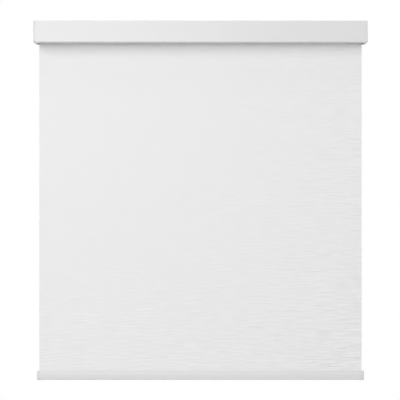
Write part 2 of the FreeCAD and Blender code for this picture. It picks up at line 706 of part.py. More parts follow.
def spring_arbor():
    """The steel shaft that stays still, with a flat tang in the left end cap."""
    tang_start = -half_profile - socket_depth + TANG_GAP
    shaft = rod(-half_profile, guide_end, ARBOR_RADIUS)
    tang = rod(tang_start, -half_profile, ARBOR_RADIUS).common(bar(
        (tang_start, -half_profile),
        (axis_y - TANG_THICK / 2, axis_y + TANG_THICK / 2),
        (axis_z - ARBOR_RADIUS, axis_z + ARBOR_RADIUS),
    ))
    pin_x = (anchor_start + anchor_end) / 2
    cross = Part.makeCylinder(ANCHOR_PIN_RADIUS + PRESS_GAP, 4 * ARBOR_RADIUS,
                              Vector(pin_x, axis_y, axis_z - 2 * ARBOR_RADIUS))
    return cut(fused(shaft, tang), cross)


def ratchet_wheel():
    """The fixed two-toothed wheel that the pawls drop into."""
    x = (pawl_outer, pawl_inner)
    wheel = rod(*x, ratchet_radius)
    notch = along_finger(
        x, -PAWL_BOSS_RADIUS, PAWL_FINGER_LENGTH + NOTCH_STOP_GAP,
        -2 * ratchet_radius, PAWL_FINGER_WIDTH / 2 + NOTCH_SIDE_GAP,
        PAWL_REST_ANGLE + PAWL_SWING,
    )
    return cut(wheel, rod(*x, ARBOR_RADIUS + PRESS_GAP), notch, turned(notch, 180))


def pawl(half_turn):
    """One pawl, held out of the ratchet; the second is half a turn round."""
    x = (pawl_outer, pawl_inner)
    half = PAWL_FINGER_WIDTH / 2
    y, z = pawl_pivot()
    finger = along_finger(x, 0, PAWL_FINGER_LENGTH, -half, half, PAWL_REST_ANGLE)
    shape = fused(rod(*x, PAWL_BOSS_RADIUS, y, z), finger)
    return turned(cut(shape, rod(*x, PAWL_PIN_RADIUS + PIN_PLAY, y, z)), 180 * half_turn)


def pawl_pins():
    """Two headed pins in the plug, one for each pawl."""
    y, z = pawl_pivot()
    head_inner = pawl_outer - RIVET_PLAY
    head = rod(head_inner - PAWL_PIN_HEAD_HEIGHT, head_inner, PAWL_PIN_HEAD, y, z)
    pin = fused(head, rod(head_inner, recess_floor + PAWL_PIN_DEPTH, PAWL_PIN_RADIUS, y, z))
    return Part.makeCompound([pin, turned(pin, 180)])


def spring_anchor():
    """The hub pinned to the arbor, which holds the spring's far leg still."""
    pin_x = (anchor_start + anchor_end) / 2
    body = rod(anchor_start, anchor_end, anchor_radius)
    cross = Part.makeCylinder(ANCHOR_PIN_RADIUS + PRESS_GAP, 2 * anchor_radius,
                              Vector(pin_x, axis_y, axis_z - anchor_radius))
    leg = rod(anchor_start, anchor_start + SPRING_LEG, WIRE_RADIUS + PLUG_GAP, axis_y, axis_z + spring_radius)
    return cut(body, rod(anchor_start, anchor_end, ARBOR_RADIUS + PRESS_GAP), cross, leg)


def anchor_pin():
    """The pin through the anchor and the arbor."""
    pin_x = (anchor_start + anchor_end) / 2
    length = 2 * (anchor_radius - ANCHOR_PIN_SHORT)
    return Part.makeCylinder(ANCHOR_PIN_RADIUS, length, Vector(pin_x, axis_y, axis_z - length / 2))


def tube_guide():
    """The bush that centres the arbor's inner end in the tube."""
    body = rod(guide_start, guide_end, plug_radius)
    body = cut(body, *tube_section_tools(guide_start, guide_end, PLUG_GAP))
    return cut(body, rod(guide_start, guide_end, ARBOR_RADIUS + PIN_PLAY))


# Coil springs, each one wire swept along arcs that meet tangentially

def arc_from(start, way, end):
    """The arc that leaves start along way and ends at end."""
    chord = end - start
    along = Vector(chord).normalize()
    side = (way - along * way.dot(along)).normalize()
    bulge = math.tan(way.getAngle(along) / 2) * chord.Length / 2
    return Part.Arc(start, (start + end) * 0.5 + side * bulge, end).toShape()


def two_arcs(start, start_way, end, end_way):
    """Two arcs that join two points and keep both directions."""
    gap = end - start
    ways = start_way + end_way
    a = 4 - ways.dot(ways)
    b = 2 * gap.dot(ways)
    c = -gap.dot(gap)
    reach = (-b + math.sqrt(b * b - 4 * a * c)) / (2 * a)
    joint = (start + start_way * reach + end - end_way * reach) * 0.5
    joint_way = (end - end_way * reach - start - start_way * reach).normalize()
    return [arc_from(start, start_way, joint), arc_from(joint, joint_way, end)]


def helix(x0, radius, pitch, first, last):
    """Points and directions a quarter turn or less apart on a helix about the roller's axis."""
    steps = math.ceil((last - first) / (math.pi / 2) - 1e-6)
    points, ways = [], []
    for i in range(steps + 1):
        angle = first + (last - first) * i / steps
        rise = pitch / (2 * math.pi)
        y, z = math.sin(angle), math.cos(angle)
        points.append(Vector(x0 + rise * angle, axis_y + radius * y, axis_z + radius * z))
        ways.append(Vector(rise, radius * z, -radius * y).normalize())
    return points, ways


def round_wire(name, points, ways, wire_radius, turns, leg_in=(), leg_out=()):
    """A round wire through points along ways, with any straight legs; prints its least gap."""
    edges = []
    for start, start_way, end, end_way in zip(points, ways, points[1:], ways[1:]):
        edges += two_arcs(start, start_way, end, end_way)
    coil = Part.Wire(edges).discretize(Number=SPRING_SAMPLES * turns)
    gap = min((coil[i] - coil[j]).Length for i in range(len(coil))
              for j in range(i + SPRING_SAMPLES // 2, min(i + 2 * SPRING_SAMPLES, len(coil))))
    print(f"{name}: least gap between turns {gap - 2 * wire_radius:.2f} mm")
    edges = [*leg_in, *edges, *leg_out]
    start = edges[0].Vertexes[0].Point
    ring = Part.Wire(Part.makeCircle(wire_radius, start, edges[0].tangentAt(edges[0].FirstParameter)))
    return Part.Wire(edges).makePipeShell([ring], True, False)


def counter_spring():
    """The torsion spring that balances the shade's weight, with a straight leg at each end."""
    ease = math.asin(SPRING_BEND / spring_radius)
    points, ways = helix(coil_start, spring_radius, SPRING_PITCH, ease, 2 * math.pi * SPRING_TURNS - ease)
    along = Vector(1, 0, 0)

    def leg_point(x):
        return Vector(x, axis_y, axis_z + spring_radius)

    points = [leg_point(coil_start - SPRING_BEND)] + points + [leg_point(coil_end + SPRING_BEND)]
    ways = [along] + ways + [along]
    leg_in = Part.makeLine(leg_point(coil_start - SPRING_LEG), points[0])
    leg_out = Part.makeLine(points[-1], leg_point(coil_end + SPRING_LEG))
    return round_wire("counter_spring", points, ways, WIRE_RADIUS, SPRING_TURNS, [leg_in], [leg_out])


# Idle end of the roller

def idle_end_plug():
    """The plug that carries the spring-loaded pin."""
    body = rod(seat_face, tube_half, plug_radius)
    body = cut(body, *tube_section_tools(seat_face, tube_half, PLUG_GAP))
    body = fused(body, rod(tube_half, flange_face, TUBE_RADIUS))
    return cut(
        body,
        rod(pin_shoulder, flange_face, IDLE_PIN_RADIUS + PIN_PLAY),
        rod(seat_face, pin_shoulder, pin_bore),
    )


def idle_pin():
    """The pin that the roller turns on at the right; it slides in to free the roller."""
    nose = rod(pin_shoulder, pin_tip, IDLE_PIN_RADIUS)
    rim = edges_at(nose, lambda p: abs(p.x - pin_tip) < 1e-6)
    nose = nose.makeFillet(IDLE_PIN_NOSE, rim)
    return fused(
        nose,
        rod(collar_end, pin_shoulder, IDLE_PIN_COLLAR),
        rod(collar_end - IDLE_PIN_TAIL, collar_end, IDLE_PIN_TAIL_RADIUS),
    )


def spring_seat():
    """The disc pressed into the idle plug behind its spring."""
    return rod(seat_face, seat_face + SEAT_THICK, pin_bore - PRESS_GAP)


def idle_pin_spring():
    """The compression spring between the seat and the pin's collar."""
    start = seat_face + SEAT_THICK + PIN_SPRING_WIRE
    pitch = (collar_end - PIN_SPRING_WIRE - start) / PIN_SPRING_TURNS
    points, ways = helix(start, pin_spring_radius, pitch, 0, 2 * math.pi * PIN_SPRING_TURNS)
    return round_wire("idle_pin_spring", points, ways, PIN_SPRING_WIRE, PIN_SPRING_TURNS)


def bearing_bush():
    """The bush in the right end cap that the idle pin turns in."""
    ring = rod(half_profile, half_profile + socket_depth, bush_radius)
    return cut(ring, rod(half_profile, half_profile + socket_depth, IDLE_PIN_RADIUS + PIN_PLAY))


# Bottom rail

def rail_section(x0, x1, grow):
    """A length of the rail's section, a rounded shoulder over a long face, drawn out all round by grow."""
    top, bottom = rail_top + grow, rail_bottom - grow
    belly = rail_top - RAIL_SHOULDER

    def at(side, radius, z):
        """The point at this height on an arc that stands upright at the belly."""
        reach = RAIL_DEPTH / 2 - radius + math.sqrt((radius + grow) ** 2 - (z - belly) ** 2)
        return Vector(x0, fabric_middle + side * reach, z)

    edges = []
    for radius, end in ((RAIL_SHOULDER_RADIUS, top), (RAIL_FACE_RADIUS, bottom)):
        edges.append(Part.makeLine(at(-1, radius, end), at(1, radius, end)))
        for side in (-1, 1):
            points = [at(side, radius, z) for z in (belly, (belly + end) / 2, end)]
            edges.append(Part.Arc(*points).toShape())
    wire = Part.Wire(Part.__sortEdges__(edges))
    block = Part.Face(wire).extrude(Vector(x1 - x0, 0, 0))
    lower_edges = [e for e in edges_at(block, lambda p: abs(p.z - bottom) < 1e-6)
                   if abs(e.Vertexes[0].X - e.Vertexes[-1].X) > 1e-6]
    return block.makeFillet(RAIL_EDGE_RADIUS + grow, lower_edges)


def bottom_rail():
    """The extruded rail: a slotted pocket for the spline, in a hollow that holds the ballast."""
    x = (-rail_half, rail_half)
    hollow = rail_section(*x, -RAIL_WALL)
    half = RAIL_SPLINE_WIDTH / 2 + STRIP_GAP
    box = half + RAIL_POCKET_WALL
    hollow = cut(hollow, bar(x, (fabric_middle - box, fabric_middle + box), (rail_chamber_top, rail_top)))
    pocket = bar(x, (fabric_middle - half, fabric_middle + half), (rail_pocket_bottom, rail_pocket_top))
    opening = RAIL_SLOT / 2
    slot = bar(x, (fabric_middle - opening, fabric_middle + opening), (rail_pocket_top, rail_top))
    return cut(rail_section(*x, 0), hollow, pocket, slot)


def rail_spline():
    """The plastic spline that grips the foot of the fabric in the rail's pocket."""
    x = (-rail_half + STRIP_GAP, rail_half - STRIP_GAP)
    half = RAIL_SPLINE_WIDTH / 2
    bottom = rail_pocket_bottom + STRIP_GAP
    top = bottom + RAIL_SPLINE_HEIGHT
    grip = FABRIC_THICK / 2 + TUBE_WRAP_GAP
    spline = bar(x, (fabric_middle - half, fabric_middle + half), (bottom, top))
    return cut(spline, bar(x, (fabric_middle - grip, fabric_middle + grip), (bottom + SPLINE_FLOOR, top)))


def rail_cap(side):
    """A moulded cap, a little proud of the rail all round, with a plug in the rail's hollow."""
    inner = side * rail_half
    seam = inner + side * CAP_SEAM
    outer = side * (rail_half + RAIL_CAP_WIDTH)
    body = rail_section(seam, outer, RAIL_CAP_PROUD)
    body = body.makeFillet(RAIL_CAP_RADIUS, edges_at(body, lambda p: abs(p.x - outer) < 1e-6))
    neck = rail_section(inner, seam, -CAP_SEAM)
    plug_x = (inner - side * RAIL_PLUG_LENGTH, inner)
    plug = rail_section(*plug_x, -RAIL_WALL - RAIL_PLUG_GAP).common(bar(
        plug_x,
        (fabric_middle - RAIL_DEPTH, fabric_middle + RAIL_DEPTH),
        (rail_bottom, rail_chamber_top - RAIL_PLUG_GAP),
    ))
    return fused(body, neck, plug)


def ballast_bar():
    """The round steel bar that weighs the rail down against the spring."""
    half_length = rail_half - RAIL_PLUG_LENGTH - BALLAST_END_GAP
    centre = rail_chamber_bottom + BALLAST_RADIUS + PRESS_GAP
    return rod(-half_length, half_length, BALLAST_RADIUS, fabric_middle, centre)


PIECES = {
    "headrail": headrail,
    "fascia": fascia,
    "end_cap_left": lambda: end_cap(-1),
    "end_cap_right": lambda: end_cap(1),
    "cap_screws_left": lambda: cap_screws(-1),
    "cap_screws_right": lambda: cap_screws(1),
    "bracket_left": lambda: bracket(-1),
    "bracket_right": lambda: bracket(1),
    "cam_lever_left": lambda: cam_lever(-1),
    "cam_lever_right": lambda: cam_lever(1),
    "cam_rivet_left": lambda: cam_rivet(-1),
    "cam_rivet_right": lambda: cam_rivet(1),
    "roller_tube": roller_tube,
    "fabric_strip": fabric_strip,
    "fabric_roll": fabric_roll,
    "fabric_panel": fabric_panel,
    "spring_end_plug": spring_end_plug,
    "spring_arbor": spring_arbor,
    "ratchet_wheel": ratchet_wheel,
    "pawl_a": lambda: pawl(0),
    "pawl_b": lambda: pawl(1),
    "pawl_pins": pawl_pins,
    "counter_spring": counter_spring,
    "spring_anchor": spring_anchor,
    "anchor_pin": anchor_pin,
    "tube_guide": tube_guide,
    "idle_end_plug": idle_end_plug,
    "idle_pin": idle_pin,
    "idle_pin_spring": idle_pin_spring,
    "spring_seat": spring_seat,
    "bearing_bush": bearing_bush,
    "bottom_rail": bottom_rail,
    "rail_spline": rail_spline,
    "rail_cap_left": lambda: rail_cap(-1),
    "rail_cap_right": lambda: rail_cap(1),
    "ballast_bar": ballast_bar,
}

os.makedirs("parts", exist_ok=True)
for node, make in PIECES.items():
    shape = make()
    if not shape.isValid() or not shape.Solids or min(s.Volume for s in shape.Solids) <= 0:
        raise ValueError(f"{node} isn't a sound solid")
    shape.exportStep(f"parts/{node}.step")
    print(f"{node}: {len(shape.Solids)} solid, {shape.Volume / 1000:.2f} cm3")

print(f"lift {lift:.1f} mm, spring pin travel {pin_travel:.1f} mm")
print(f"roller axis at y {axis_y:.2f} z {axis_z:.2f}, fabric at y {fabric_middle:.3f}")
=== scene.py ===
# %% [markdown]
# # A cordless roller shade, dressed for a photograph
#
# The shade is a sheet of white cloth on a sprung tube. The tube lies in a square cassette, and a weighted
# rail keeps the cloth flat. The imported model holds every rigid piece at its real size, so nothing here
# moves or reshapes them. What is left to do is the studio, a finish for each piece, and what changes its
# shape in use: the cloth, and one small spring.

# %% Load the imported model
import json
import math

import bpy
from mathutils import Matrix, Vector, noise


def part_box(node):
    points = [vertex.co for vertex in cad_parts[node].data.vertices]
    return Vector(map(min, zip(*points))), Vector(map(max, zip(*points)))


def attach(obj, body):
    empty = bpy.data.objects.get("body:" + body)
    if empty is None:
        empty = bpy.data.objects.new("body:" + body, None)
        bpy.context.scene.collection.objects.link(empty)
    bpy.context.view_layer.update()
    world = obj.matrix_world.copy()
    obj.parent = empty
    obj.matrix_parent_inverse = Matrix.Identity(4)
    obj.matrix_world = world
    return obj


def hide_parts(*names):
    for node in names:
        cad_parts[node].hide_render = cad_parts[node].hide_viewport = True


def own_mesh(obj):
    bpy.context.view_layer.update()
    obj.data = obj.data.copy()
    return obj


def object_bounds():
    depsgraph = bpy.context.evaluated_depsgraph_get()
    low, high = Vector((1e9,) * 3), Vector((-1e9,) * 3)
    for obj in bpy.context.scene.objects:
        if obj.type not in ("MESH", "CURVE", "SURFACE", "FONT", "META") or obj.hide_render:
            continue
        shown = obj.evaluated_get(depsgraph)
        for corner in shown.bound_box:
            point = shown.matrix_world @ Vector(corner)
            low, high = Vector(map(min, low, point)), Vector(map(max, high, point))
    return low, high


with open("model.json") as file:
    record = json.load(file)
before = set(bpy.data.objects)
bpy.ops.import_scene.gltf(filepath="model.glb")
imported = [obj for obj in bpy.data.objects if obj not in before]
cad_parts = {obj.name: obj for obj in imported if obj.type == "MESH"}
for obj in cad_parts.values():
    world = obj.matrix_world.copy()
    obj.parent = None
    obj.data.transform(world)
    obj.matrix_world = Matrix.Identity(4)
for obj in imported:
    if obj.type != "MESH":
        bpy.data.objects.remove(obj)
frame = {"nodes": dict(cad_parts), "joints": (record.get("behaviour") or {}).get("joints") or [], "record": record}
cad_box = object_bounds()
print(len(frame["nodes"]), "nodes in the box", [[round(x, 4) for x in corner] for corner in cad_box])

# %% [markdown]
# ## Sizes taken from the model
#
# Everything that is made below has to meet the rigid pieces. Sizes typed in by hand would be wrong as soon
# as the model changed, so they are read from the pieces themselves. A box gives the lowest and highest
# corner of a node. The roller's axis is where its joint says.

# %% Read the sizes
MM = 0.001
joints = {joint["name"]: joint for joint in frame["joints"]}
cassette_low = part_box("end_cap_left")[0]
cassette_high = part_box("end_cap_right")[1]
cassette_width = cassette_high.x - cassette_low.x
cassette_front = cassette_low.y
cassette_top = cassette_high.z
panel_low, panel_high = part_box("fabric_panel")
axis = Vector(joints["tube_turn"]["pos_m"])
panel_size = panel_high - panel_low
cloth_thick = panel_size.y
cloth_middle = (panel_low.y + panel_high.y) / 2

# %% [markdown]
# ## The camera
#
# The photograph looks at the shade straight on. The cloth's two edges stay parallel down the whole picture,
# so the camera is level. It isn't as high as the cassette, because the cassette's underside shows. The
# cassette's width and its top edge in the picture then fix the lens and the height of the eye. The distance
# shows in how far the underside's rear corners draw in from its front corners: the nearer the eye, the more
# they do.

# %% Place the camera
PICTURE = 400                   # the photograph's side, in pixels
CASSETTE_LEFT_PX = 33.15        # in the photograph
CASSETTE_RIGHT_PX = 367.8
CASSETTE_TOP_PX = 20.58
EYE_DISTANCE = 3.14             # metres in front of the cassette
SENSOR = 36                     # millimetres

px_per_metre = (CASSETTE_RIGHT_PX - CASSETTE_LEFT_PX) / cassette_width
eye = Vector((
    (PICTURE - CASSETTE_LEFT_PX - CASSETTE_RIGHT_PX) / 2 / px_per_metre,
    cassette_front - EYE_DISTANCE,
    cassette_top - (PICTURE / 2 - CASSETTE_TOP_PX) / px_per_metre,
))
camera = bpy.data.objects.new("camera", bpy.data.cameras.new("camera"))
camera.data.sensor_width = SENSOR
camera.data.lens = px_per_metre * EYE_DISTANCE / PICTURE * SENSOR
camera.location = eye
camera.rotation_euler = (math.radians(90), 0, 0)
bpy.context.scene.collection.objects.link(camera)
bpy.context.scene.camera = camera
bpy.context.scene.view_settings.view_transform = "Standard"
print(f"eye at {[round(x, 4) for x in eye]}, lens {camera.data.lens:.2f} mm")

# %% [markdown]
# ## Writing finishes as sums
#
# A material in Blender is a web of nodes. Drawn by hand it is quick, but written in code it soon fills
# pages. So a socket is wrapped in a small class that knows what +, - and * mean: each adds the Math node
# for it. A mask can then be written as 1 - mask. Any other node comes from one method, which sets the
# node's own settings first, because some of them change which sockets it has.

# %% A helper for node trees
MIX_A, MIX_B, MIX_RESULT = 6, 7, 2      # the colour sockets of a Mix node


class Signal:
    """The output of one node. Sums and products of signals add Math nodes."""

    def __init__(self, finish, socket):
        self.finish = finish
        self.socket = socket

    def through(self, operation, *others):
        """This signal, and others if the operation takes more, through a Math node."""
        terms = dict(enumerate((self, *others)))
        return self.finish.node("ShaderNodeMath", {"operation": operation}, terms)

    def __add__(self, other):
        return self.through("ADD", other)

    def __sub__(self, other):
        return self.through("SUBTRACT", other)

    def __rsub__(self, other):
        return self.finish.node("ShaderNodeMath", {"operation": "SUBTRACT"}, {0: other, 1: self})

    def __mul__(self, other):
        return self.through("MULTIPLY", other)

    __radd__ = __add__
    __rmul__ = __mul__

    def between(self, low, high):
        """A number that is low where the signal is 0 and high where it is 1."""
        return self * (high - low) + low


class Finish:
    """A tree of shader nodes that is being written."""

    def __init__(self, tree):
        self.tree = tree
        tree.nodes.clear()

    def node(self, kind, settings=None, sockets=None, out=0):
        """Adds a node, first its settings, then its sockets by name or number, and gives one output."""
        made = self.tree.nodes.new(kind)
        for name, value in (settings or {}).items():
            setattr(made, name, value)
        for name, value in (sockets or {}).items():
            if isinstance(value, Signal):
                self.tree.links.new(value.socket, made.inputs[name])
            else:
                made.inputs[name].default_value = value
        return Signal(self, made.outputs[out])

    def end(self, kind, shader):
        """Ends the tree with an output node for this shader."""
        self.tree.links.new(shader.socket, self.tree.nodes.new(kind).inputs[0])

    def mix(self, mask, a, b):
        """Colour a where the mask is 0 and b where it is 1."""
        a, b = (value if isinstance(value, Signal) else (*value, 1) for value in (a, b))
        return self.node("ShaderNodeMix", {"data_type": "RGBA"}, {0: mask, MIX_A: a, MIX_B: b}, MIX_RESULT)

    def stretched(self, place, sizes):
        """The place measured in steps of the given sizes along each axis."""
        steps = [1 / size for size in sizes]
        return self.node("ShaderNodeVectorMath", {"operation": "MULTIPLY"}, {0: place, 1: steps})

    def grain(self, place, size, detail=2.0):
        """Noise from -1 to 1 or so, in lumps of one size in metres, or of one for each axis."""
        sizes = size if isinstance(size, tuple) else (size, size, size)
        spread = {"Vector": self.stretched(place, sizes), "Scale": 1.0, "Detail": detail}
        return self.node("ShaderNodeTexNoise", {}, spread) * 2 - 1

    def drift(self, place, size, low, high, detail=2.0):
        """A number that wanders between low and high or so, in lumps of this size."""
        return self.grain(place, size, detail) * ((high - low) / 2) + (low + high) / 2

    def clouds(self, place, size, dark, light):
        """A colour that wanders between a dark and a light one, in lumps of this size."""
        return self.mix(self.drift(place, size, 0, 1), dark, light)


print("finishes are written with", Signal.__name__, "and", Finish.__name__)

# %% [markdown]
# ## A white background that isn't a lamp
#
# The photograph's background is pure white, but a shade that really stood in a pure white room would have
# no shading left. So the world has two faces. To the camera, in reflections and through anything clear it
# is white. To every other ray it is a dimmer grey, which fills the shadows and no more.

# %% The world
SKY_LIGHT = 0.35                # what the world gives as light, where white is 1
WHITE = (1, 1, 1, 1)


def seen_directly(finish):
    """1 for rays from the camera, and for those by way of a shiny or clear surface."""
    camera_ray, shiny_ray, clear_ray = (
        finish.node("ShaderNodeLightPath", out=name)
        for name in ("Is Camera Ray", "Is Glossy Ray", "Is Transmission Ray"))
    return camera_ray.through("MAXIMUM", shiny_ray.through("MAXIMUM", clear_ray))


def make_world():
    world = bpy.data.worlds.new("studio")
    world.use_nodes = True
    bpy.context.scene.world = world
    sky = Finish(world.node_tree)
    lit = sky.node("ShaderNodeBackground", {}, {"Color": WHITE, "Strength": SKY_LIGHT})
    shown = sky.node("ShaderNodeBackground", {}, {"Color": WHITE, "Strength": 1.0})
    both = sky.node("ShaderNodeMixShader", {}, {0: seen_directly(sky), 1: lit, 2: shown})
    sky.end("ShaderNodeOutputWorld", both)


make_world()
print("world light", SKY_LIGHT)

# %% [markdown]
# ## The floor
#
# A shade hangs from the head of a window, about two metres up. The floor is that far down, so it is below
# the picture. It still sends light up to the rail's underside, and it shows when the shade is seen from
# above. Near the shade it is a pale matt floor that keeps the shadow. Further out it fades to the
# background's white, so that no edge shows.

# %% The floor
FLOOR_DROP = 2.1                # below the wall screws, in metres
FLOOR_REACH = 30.0
FLOOR_COLOUR = (0.82, 0.82, 0.82, 1)
FADE_START, FADE_END = 1.0, 3.2     # distance from below the shade, in metres
NEAR_WHITENESS = 0.6            # how much of the background's white the floor takes near the shade


def floor_finish():
    material = bpy.data.materials.new("pale_floor")
    material.use_nodes = True
    floor = Finish(material.node_tree)
    place = floor.node("ShaderNodeTexCoord", out="Object")
    distance = floor.node("ShaderNodeVectorMath", {"operation": "LENGTH"}, {0: place}, out="Value")
    fade = floor.node("ShaderNodeMapRange", {"interpolation_type": "SMOOTHSTEP"}, {
        "Value": distance, "From Min": FADE_START, "From Max": FADE_END,
        "To Min": NEAR_WHITENESS, "To Max": 1.0,
    })
    matt = floor.node("ShaderNodeBsdfDiffuse", {}, {"Color": FLOOR_COLOUR})
    white = floor.node("ShaderNodeEmission", {}, {"Color": WHITE, "Strength": 1.0})
    both = floor.node("ShaderNodeMixShader", {}, {0: seen_directly(floor) * fade, 1: matt, 2: white})
    floor.end("ShaderNodeOutputMaterial", both)
    return material


def make_floor():
    corners = [(x * FLOOR_REACH, y * FLOOR_REACH, 0) for x, y in ((-1, -1), (1, -1), (1, 1), (-1, 1))]
    mesh = bpy.data.meshes.new("floor")
    mesh.from_pydata(corners, [], [(0, 1, 2, 3)])
    mesh.materials.append(floor_finish())
    floor = bpy.data.objects.new("floor", mesh)
    floor.location.z = -FLOOR_DROP
    bpy.context.scene.collection.objects.link(floor)


make_floor()
print(f"floor {FLOOR_DROP} m down")

# %% [markdown]
# ## Soft studio light
#
# The cassette's front is brighter at the left than at the right, and the shadow that it throws on the cloth
# is deep just below the cassette and fades out over a hand's width. One panel can't do both. So the main
# light is a large soft panel to the left and above, which throws that shadow. A second panel, nearly
# straight in front and low, fills it, and a weak third one at the right keeps the far end from going dull.
# A fourth hangs almost overhead, and lights what leans back, such as the rail's shoulder. Two more panels
# behind the shade light its back.

# %% The lamps
# name: degrees to the left, degrees up, metres away, panel's width and height in metres, watts
LAMPS = {
    "main_panel": (37, 28, 4.4, 2.3, 2.1, 62.7),
    "front_panel": (10, 9, 4.6, 2.0, 1.4, 41),
    "right_panel": (-40, 9, 4.6, 2.0, 1.4, 25),
    "top_panel": (10, 78, 4.6, 2.0, 2.0, 20),
    "back_panel_left": (150, 20, 4.0, 2.0, 2.0, 54),
    "back_panel_right": (-140, 30, 4.0, 2.0, 2.0, 34),
}


def add_lamp(name, left, up, distance, width, height, watts):
    data = bpy.data.lights.new(name, "AREA")
    data.shape = "RECTANGLE"
    data.size, data.size_y = width, height
    data.energy = watts
    lamp = bpy.data.objects.new(name, data)
    middle = (cad_box[0] + cad_box[1]) / 2
    left, up = math.radians(left), math.radians(up)
    towards = Vector((-math.sin(left) * math.cos(up), -math.cos(left) * math.cos(up), math.sin(up)))
    lamp.location = middle + towards * distance
    lamp.rotation_euler = towards.to_track_quat("Z", "Y").to_euler()
    lamp.visible_camera = False
    bpy.context.scene.collection.objects.link(lamp)
    return lamp


for name, setting in LAMPS.items():
    print(name, "at", [round(x, 2) for x in add_lamp(name, *setting).location])

# %% [markdown]
# ## Finishes
#
# Each finish is one Principled shader. What is the same all over is a number on the shader. What changes
# over the surface, such as colour, roughness and the bumps, comes from noise that is laid out in metres, so
# that an orange peel bump is as small on the rail as on the cassette. Heights are in metres too, and the
# Bump node gets them as they are.

# %% The base of every finish
def new_finish(name):
    """An empty material and the place on the piece, in metres, for its noise."""
    material = bpy.data.materials.new(name)
    material.use_nodes = True
    finish = Finish(material.node_tree)
    return material, finish, finish.node("ShaderNodeTexCoord", out="Object")


def finished(material, finish, height, **sockets):
    """Ends a material with a Principled shader that has these sockets and bumps of this height."""
    normal = finish.node("ShaderNodeBump", {}, {"Strength": 1.0, "Distance": 1.0, "Height": height})
    named = {name.replace("_", " "): value for name, value in sockets.items()}
    surface = finish.node("ShaderNodeBsdfPrincipled", {}, {**named, "Normal": normal})
    finish.end("ShaderNodeOutputMaterial", surface)
    return material


def shade_of(colour, share):
    """A colour made lighter or darker by a share."""
    return tuple(channel * share for channel in colour)


print("Principled shader, bumps in metres")

# %% [markdown]
# ## White powder coat
#
# The cassette and the bottom rail are aluminium extrusions, sprayed with powder that melts to a film in an
# oven. The film flows a little before it sets, which leaves the faint orange peel of a satin coat. It could
# be done with a flat colour and a low roughness, but then the long faces look like paper. The peel breaks
# up their reflections. The rail's coat is duller than the cassette's: in the photograph no bright line runs
# along its shoulder.

# %% Powder coat
COAT_WHITE = (0.735, 0.735, 0.735)
CASSETTE_ROUGHNESS = 0.33
RAIL_ROUGHNESS = 0.5
ROUGHNESS_SPREAD = 0.03         # to either side
PEEL_SIZE = 1.8 * MM
PEEL_HEIGHT = 0.006 * MM
SPECK_SIZE = 0.35 * MM
SPECK_HEIGHT = 0.0012 * MM


def powder_coat(name, dullness):
    material, finish, place = new_finish(name)
    colour = finish.clouds(place, 120 * MM, shade_of(COAT_WHITE, 0.992), shade_of(COAT_WHITE, 1.006))
    peel = finish.grain(place, PEEL_SIZE) * PEEL_HEIGHT
    specks = finish.grain(place, SPECK_SIZE, detail=1.0) * SPECK_HEIGHT
    roughness = finish.drift(place, 20 * MM, dullness - ROUGHNESS_SPREAD, dullness + ROUGHNESS_SPREAD)
    return finished(material, finish, peel + specks, Base_Color=colour, Roughness=roughness)


def cassette_coat():
    return powder_coat("cassette_coat", CASSETTE_ROUGHNESS)


def rail_coat():
    return powder_coat("rail_coat", RAIL_ROUGHNESS)


print(f"orange peel {PEEL_SIZE / MM:.1f} mm across and {PEEL_HEIGHT / MM:.3f} mm high")

# %% [markdown]
# ## White moulded plastic
#
# The end caps are injection moulded in a steel mould that was spark eroded to a fine grain, so they are
# duller than the coat beside them. The plastic is a shade darker than the powder, as it is in the
# photograph. The coat's own finish could stand in for it, but then the caps would melt into the cassette.

# %% Moulded plastic
PLASTIC_WHITE = (0.725, 0.725, 0.725)
ERODED_SIZE = 0.45 * MM         # of the grain that the mould leaves
ERODED_HEIGHT = 0.005 * MM


def moulded_plastic():
    material, finish, place = new_finish("moulded_plastic")
    colour = finish.clouds(place, 50 * MM, shade_of(PLASTIC_WHITE, 0.99), shade_of(PLASTIC_WHITE, 1.005))
    eroded = finish.grain(place, ERODED_SIZE) * ERODED_HEIGHT
    roughness = finish.drift(place, 10 * MM, low=0.49, high=0.55)
    return finished(material, finish, eroded, Base_Color=colour, Roughness=roughness)


print(f"eroded grain {ERODED_SIZE / MM:.2f} mm across and {ERODED_HEIGHT / MM:.3f} mm high")

# %% [markdown]
# ## Zinc plate, painted steel and spring wire
#
# Screws, rivets, cams, pins, the shaft in the tube, the small spring's seat and the ballast are plated with
# zinc, which is bright but never a mirror: it has a soft cloudy bloom and fine marks from tumbling with the
# other parts. The brackets are steel sheet under white paint. The springs are drawn wire with a film of
# oil, dark and lined along the drawing. A flat metal would do for parts as small as these at arm's length,
# but not nearer, so each has noise that is stretched the way its marks run.

# %% Steel parts
BRACKET_WHITE = (0.84, 0.84, 0.83)
MARK_DEPTH = 0.001 * MM         # of tumbling marks and drawing lines
ROLLED_HEIGHT = 0.003 * MM      # of the sheet's rolling marks, under the paint


def zinc_plate():
    material, finish, place = new_finish("zinc_plate")
    bloom = finish.drift(place, 4 * MM, low=0, high=1, detail=4.0)
    colour = finish.mix(bloom, (0.66, 0.67, 0.69), (0.76, 0.76, 0.74))
    marks = finish.grain(place, (0.15 * MM, 1.2 * MM, 0.5 * MM)) * MARK_DEPTH
    roughness = bloom.between(0.24, 0.40)
    return finished(material, finish, marks, Base_Color=colour, Metallic=1.0, Roughness=roughness)


def painted_steel():
    material, finish, place = new_finish("painted_steel")
    colour = finish.clouds(place, 20 * MM, shade_of(BRACKET_WHITE, 0.98), BRACKET_WHITE)
    rolled = finish.grain(place, (6 * MM, 0.6 * MM, 0.6 * MM)) * ROLLED_HEIGHT
    roughness = finish.drift(place, 5 * MM, low=0.31, high=0.41)
    return finished(material, finish, rolled, Base_Color=colour, Roughness=roughness)


